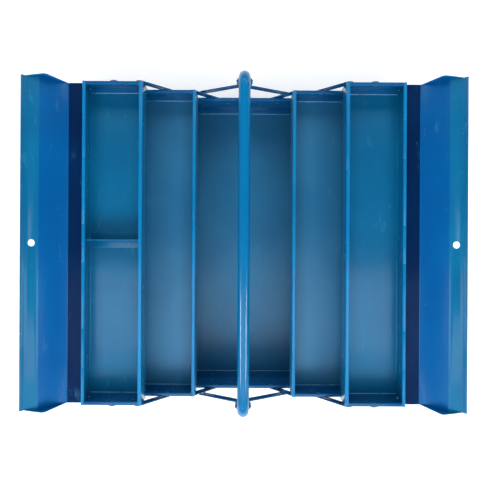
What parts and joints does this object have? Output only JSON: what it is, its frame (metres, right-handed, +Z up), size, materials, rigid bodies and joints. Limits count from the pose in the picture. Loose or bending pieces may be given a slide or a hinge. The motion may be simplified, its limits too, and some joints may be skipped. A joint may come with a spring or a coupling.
{
  "type": "cantilever tool box",
  "caption": "Steel cantilever tool box with tiered trays on parallel links, folding lids and a tubular carrying handle, shown open.",
  "frame": {"origin": "middle of the bottom box's underside", "axes": "+X across the box, the way the trays open; +Y along the box; +Z up"},
  "size_m": [0.7104, 0.5662, 0.2125],
  "materials": {
    "blue_paint": "gloss enamel",
    "zinc": "zinc plated"
  },
  "bodies": {
    "bottom_box": {"box_shell": "blue_paint", "box_end_front": "blue_paint", "box_end_rear": "blue_paint", "box_rivets": "zinc"},
    "right_lower_tray": {"right_lower_tray_shell": "blue_paint", "right_lower_tray_end_front": "blue_paint", "right_lower_tray_end_rear": "blue_paint", "right_lower_tray_rivets": "zinc", "right_lower_tray_spacers": "zinc"},
    "right_upper_tray": {"right_upper_tray_shell": "blue_paint", "right_upper_tray_end_front": "blue_paint", "right_upper_tray_end_rear": "blue_paint", "right_upper_tray_rivets": "zinc", "right_upper_tray_spacers": "zinc", "right_hinge_pin": "zinc"},
    "right_lid": {"right_lid": "blue_paint"},
    "right_lower_inner_links": {"right_lower_inner_link_front": "blue_paint", "right_lower_inner_link_rear": "blue_paint", "right_handle_bar_rivets": "zinc", "right_handle_bar_spacers": "zinc"},
    "right_lower_outer_links": {"right_lower_outer_link_front": "blue_paint", "right_lower_outer_link_rear": "blue_paint"},
    "right_upper_inner_links": {"right_upper_inner_link_front": "blue_paint", "right_upper_inner_link_rear": "blue_paint"},
    "right_upper_outer_links": {"right_upper_outer_link_front": "blue_paint", "right_upper_outer_link_rear": "blue_paint"},
    "right_handle_bars": {"right_handle_bar_front": "blue_paint", "right_handle_bar_rear": "blue_paint", "handle_bolt_tips": "zinc", "handle_nuts": "zinc"},
    "left_lower_tray": {"left_lower_tray_shell": "blue_paint", "left_lower_tray_end_front": "blue_paint", "left_lower_tray_end_rear": "blue_paint", "left_lower_tray_rivets": "zinc", "left_lower_tray_spacers": "zinc"},
    "left_upper_tray": {"left_upper_tray_shell": "blue_paint", "left_upper_tray_end_front": "blue_paint", "left_upper_tray_end_rear": "blue_paint", "left_upper_tray_rivets": "zinc", "left_upper_tray_spacers": "zinc", "left_hinge_pin": "zinc", "left_upper_tray_divider": "blue_paint"},
    "left_lid": {"left_lid": "blue_paint"},
    "left_lower_inner_links": {"left_lower_inner_link_front": "blue_paint", "left_lower_inner_link_rear": "blue_paint", "left_handle_bar_rivets": "zinc", "left_handle_bar_spacers": "zinc"},
    "left_lower_outer_links": {"left_lower_outer_link_front": "blue_paint", "left_lower_outer_link_rear": "blue_paint"},
    "left_upper_inner_links": {"left_upper_inner_link_front": "blue_paint", "left_upper_inner_link_rear": "blue_paint"},
    "left_upper_outer_links": {"left_upper_outer_link_front": "blue_paint", "left_upper_outer_link_rear": "blue_paint"},
    "left_handle_bars": {"left_handle_bar_front": "blue_paint", "left_handle_bar_rear": "blue_paint"},
    "handle": {"handle": "blue_paint", "handle_bolts": "zinc", "handle_washers": "zinc"}
  },
  "joints": [
    {"name": "left_fold", "type": "hinge", "parent": "bottom_box", "child": "left_lower_inner_links", "pos_m": [-0.05051, 0, 0.074], "axis": [0, 1, 0], "range_deg": [0, 85.3]},
    {"name": "left_lower_outer_turn", "type": "hinge", "parent": "bottom_box", "child": "left_lower_outer_links", "pos_m": [-0.09303, 0, 0.074], "axis": [0, 1, 0], "range_deg": [0, 85.3]},
    {"name": "left_lower_tray_turn", "type": "hinge", "parent": "left_lower_inner_links", "child": "left_lower_tray", "pos_m": [-0.0909, 0, 0.11998], "axis": [0, 1, 0], "range_deg": [-85.3, 0]},
    {"name": "left_upper_inner_turn", "type": "hinge", "parent": "left_lower_tray", "child": "left_upper_inner_links", "pos_m": [-0.13342, 0, 0.11998], "axis": [0, 1, 0], "range_deg": [0, 85.3]},
    {"name": "left_upper_outer_turn", "type": "hinge", "parent": "left_lower_tray", "child": "left_upper_outer_links", "pos_m": [-0.17593, 0, 0.11998], "axis": [0, 1, 0], "range_deg": [0, 85.3]},
    {"name": "left_upper_tray_turn", "type": "hinge", "parent": "left_upper_inner_links", "child": "left_upper_tray", "pos_m": [-0.17381, 0, 0.16595], "axis": [0, 1, 0], "range_deg": [-85.3, 0]},
    {"name": "left_handle_bar_turn", "type": "hinge", "parent": "left_lower_inner_links", "child": "left_handle_bars", "pos_m": [-0.07295, 0, 0.09954], "axis": [0, 1, 0], "range_deg": [-126.98, 0]},
    {"name": "left_lid_hinge", "type": "hinge", "parent": "left_upper_tray", "child": "left_lid", "pos_m": [-0.26281, 0, 0.17696], "axis": [0, 1, 0], "range_deg": [0, 150]},
    {"name": "right_fold", "type": "hinge", "parent": "bottom_box", "child": "right_lower_inner_links", "pos_m": [0.05051, 0, 0.074], "axis": [0, 1, 0], "range_deg": [-85.3, 0]},
    {"name": "right_lower_outer_turn", "type": "hinge", "parent": "bottom_box", "child": "right_lower_outer_links", "pos_m": [0.09303, 0, 0.074], "axis": [0, 1, 0], "range_deg": [-85.3, 0]},
    {"name": "right_lower_tray_turn", "type": "hinge", "parent": "right_lower_inner_links", "child": "right_lower_tray", "pos_m": [0.0909, 0, 0.11998], "axis": [0, 1, 0], "range_deg": [0, 85.3]},
    {"name": "right_upper_inner_turn", "type": "hinge", "parent": "right_lower_tray", "child": "right_upper_inner_links", "pos_m": [0.13342, 0, 0.11998], "axis": [0, 1, 0], "range_deg": [-85.3, 0]},
    {"name": "right_upper_outer_turn", "type": "hinge", "parent": "right_lower_tray", "child": "right_upper_outer_links", "pos_m": [0.17593, 0, 0.11998], "axis": [0, 1, 0], "range_deg": [-85.3, 0]},
    {"name": "right_upper_tray_turn", "type": "hinge", "parent": "right_upper_inner_links", "child": "right_upper_tray", "pos_m": [0.17381, 0, 0.16595], "axis": [0, 1, 0], "range_deg": [0, 85.3]},
    {"name": "right_handle_bar_turn", "type": "hinge", "parent": "right_lower_inner_links", "child": "right_handle_bars", "pos_m": [0.07295, 0, 0.09954], "axis": [0, 1, 0], "range_deg": [0, 126.98]},
    {"name": "right_lid_hinge", "type": "hinge", "parent": "right_upper_tray", "child": "right_lid", "pos_m": [0.26281, 0, 0.17696], "axis": [0, 1, 0], "range_deg": [-150, 0]},
    {"name": "handle_turn", "type": "hinge", "parent": "left_handle_bars", "child": "handle", "pos_m": [0, 0, 0.14104], "axis": [0, 1, 0], "range_deg": [0, 41.68]}
  ],
  "couplings": [
    {"joint": "left_lower_outer_turn", "follows": "left_fold", "ratio": 1},
    {"joint": "left_lower_tray_turn", "follows": "left_fold", "ratio": -1},
    {"joint": "left_upper_inner_turn", "follows": "left_fold", "ratio": 1},
    {"joint": "left_upper_outer_turn", "follows": "left_fold", "ratio": 1},
    {"joint": "left_upper_tray_turn", "follows": "left_fold", "ratio": -1},
    {"joint": "left_handle_bar_turn", "follows": "left_fold", "ratio": -1.4886},
    {"joint": "right_fold", "follows": "left_fold", "ratio": -1},
    {"joint": "right_lower_outer_turn", "follows": "left_fold", "ratio": -1},
    {"joint": "right_lower_tray_turn", "follows": "left_fold", "ratio": 1},
    {"joint": "right_upper_inner_turn", "follows": "left_fold", "ratio": -1},
    {"joint": "right_upper_outer_turn", "follows": "left_fold", "ratio": -1},
    {"joint": "right_upper_tray_turn", "follows": "left_fold", "ratio": 1},
    {"joint": "right_handle_bar_turn", "follows": "left_fold", "ratio": 1.4886},
    {"joint": "handle_turn", "follows": "left_fold", "ratio": 0.48859}
  ]
}
